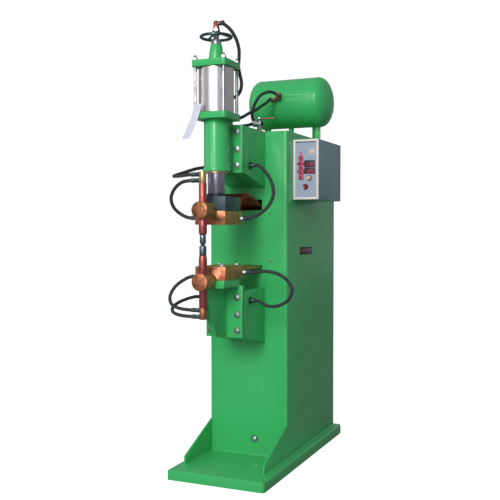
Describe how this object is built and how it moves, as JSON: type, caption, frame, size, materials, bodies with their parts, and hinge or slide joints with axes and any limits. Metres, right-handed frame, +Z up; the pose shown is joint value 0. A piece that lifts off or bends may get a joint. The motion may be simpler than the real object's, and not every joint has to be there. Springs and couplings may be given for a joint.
{
  "type": "pedestal spot welder",
  "caption": "Pneumatic pedestal spot welder: box column on a flat base, bolted arms, air cylinder with handwheel, copper electrode holders, hoses, air tank and a side control box.",
  "frame": {"origin": "centre of the base plate's underside, on the floor", "axes": "+X to the machine's right as the operator at the electrodes sees it from the front, +Y from the electrodes to the rear, +Z up"},
  "size_m": [0.4438, 0.981, 1.6014],
  "materials": {
    "green_paint": "glossy machine enamel, slightly worn",
    "grey_paint": "semi-gloss blue-grey enamel",
    "panel_paint": "matt light blue-grey film in a pale frame",
    "bright_steel": "zinc-plated and satin",
    "dark_steel": "oil-dark",
    "chrome": "polished",
    "aluminium": "machined",
    "polished_aluminium": "polished tube",
    "copper": "copper, machined faces with brown tarnish",
    "brass": "machined brass",
    "hose_rubber": "smooth black rubber",
    "insulator": "dark teal insulating resin",
    "red_plastic": "red",
    "amber_plastic": "amber",
    "winding": "varnished winding"
  },
  "bodies": {
    "machine": {"base_plate": "green_paint", "column_shell": "green_paint", "rear_cover": "green_paint", "earth_bolt": "bright_steel", "upper_arm": "green_paint", "lower_arm": "green_paint", "head_casting": "green_paint", "guide_bush": "brass", "cylinder_lower_plate": "green_paint", "cylinder_barrel": "polished_aluminium", "cylinder_upper_plate": "green_paint", "adjuster_collar": "dark_steel", "lower_bracket": "green_paint", "lower_holder": "copper", "lower_clamp_cap": "copper", "lower_electrode": "copper", "lower_tip": "dark_steel", "lower_water_cap": "brass", "shunt": "copper", "bus_bar": "copper", "transformer_core": "dark_steel", "transformer_coil": "winding", "air_tank": "green_paint", "tank_tee": "brass", "ball_valve": "bright_steel", "solenoid_valve": "aluminium", "control_case": "grey_paint", "control_panel": "panel_paint", "tie_rod_1": "bright_steel", "tie_rod_2": "bright_steel", "tie_rod_3": "bright_steel", "tie_rod_4": "bright_steel", "hose_upper_right": "hose_rubber", "hose_lower_right": "hose_rubber", "hose_upper_feed": "hose_rubber", "hose_lower_link": "hose_rubber", "hose_lower_feed": "hose_rubber", "hose_cylinder": "hose_rubber", "hose_tank_valve": "hose_rubber", "hose_tank_solenoid": "hose_rubber"},
    "ram_unit": {"ram": "chrome", "piston": "aluminium", "ram_foot": "insulator", "upper_holder": "copper", "upper_clamp_cap": "copper", "upper_electrode": "copper", "upper_tip": "dark_steel", "upper_water_cap": "brass", "hose_upper_link": "hose_rubber"},
    "elbow_unit": {"air_elbow": "copper"},
    "wheel_unit": {"handwheel": "chrome", "adjuster_stem": "dark_steel"},
    "lever_unit": {"valve_lever": "red_plastic"},
    "knob_unit": {"control_knob": "amber_plastic"},
    "button_unit": {"start_button": "red_plastic"},
    "key_unit_1": {"panel_key_1": "red_plastic"},
    "key_unit_2": {"panel_key_2": "red_plastic"},
    "key_unit_3": {"panel_key_3": "red_plastic"},
    "key_unit_4": {"panel_key_4": "red_plastic"},
    "key_unit_5": {"panel_key_5": "red_plastic"}
  },
  "joints": [
    {"name": "ram_stroke", "type": "slide", "parent": "machine", "child": "ram_unit", "axis": [0, 0, 1], "range_m": [0, 0.07], "deforming": ["shunt", "hose_upper_right", "hose_upper_feed"]},
    {"name": "stem_lift", "type": "slide", "parent": "machine", "child": "elbow_unit", "axis": [0, 0, 1], "range_m": [0, 0.02], "deforming": ["hose_cylinder"]},
    {"name": "handwheel_turn", "type": "hinge", "parent": "elbow_unit", "child": "wheel_unit", "pos_m": [0, -0.414, 1.55], "axis": [0, 0, 1], "range_deg": [0, 1800]},
    {"name": "air_lever_turn", "type": "hinge", "parent": "machine", "child": "lever_unit", "pos_m": [0.038, -0.127, 1.3], "axis": [0, 0, 1], "range_deg": [0, 90]},
    {"name": "knob_turn", "type": "hinge", "parent": "machine", "child": "knob_unit", "pos_m": [0.2213, -0.082, 1.079], "axis": [0, 1, 0], "range_deg": [-150, 150]},
    {"name": "button_press", "type": "slide", "parent": "machine", "child": "button_unit", "axis": [0, 1, 0], "range_m": [0, 0.004], "stiffness_N_per_m": 300, "springref_m": -0.001},
    {"name": "key_1_press", "type": "slide", "parent": "machine", "child": "key_unit_1", "axis": [0, 1, 0], "range_m": [0, 0.003], "stiffness_N_per_m": 300, "springref_m": -0.001},
    {"name": "key_2_press", "type": "slide", "parent": "machine", "child": "key_unit_2", "axis": [0, 1, 0], "range_m": [0, 0.003], "stiffness_N_per_m": 300, "springref_m": -0.001},
    {"name": "key_3_press", "type": "slide", "parent": "machine", "child": "key_unit_3", "axis": [0, 1, 0], "range_m": [0, 0.003], "stiffness_N_per_m": 300, "springref_m": -0.001},
    {"name": "key_4_press", "type": "slide", "parent": "machine", "child": "key_unit_4", "axis": [0, 1, 0], "range_m": [0, 0.003], "stiffness_N_per_m": 300, "springref_m": -0.001},
    {"name": "key_5_press", "type": "slide", "parent": "machine", "child": "key_unit_5", "axis": [0, 1, 0], "range_m": [0, 0.003], "stiffness_N_per_m": 300, "springref_m": -0.001}
  ],
  "couplings": [
    {"joint": "handwheel_turn", "follows": "stem_lift", "rad_per_m": 1570.8}
  ]
}
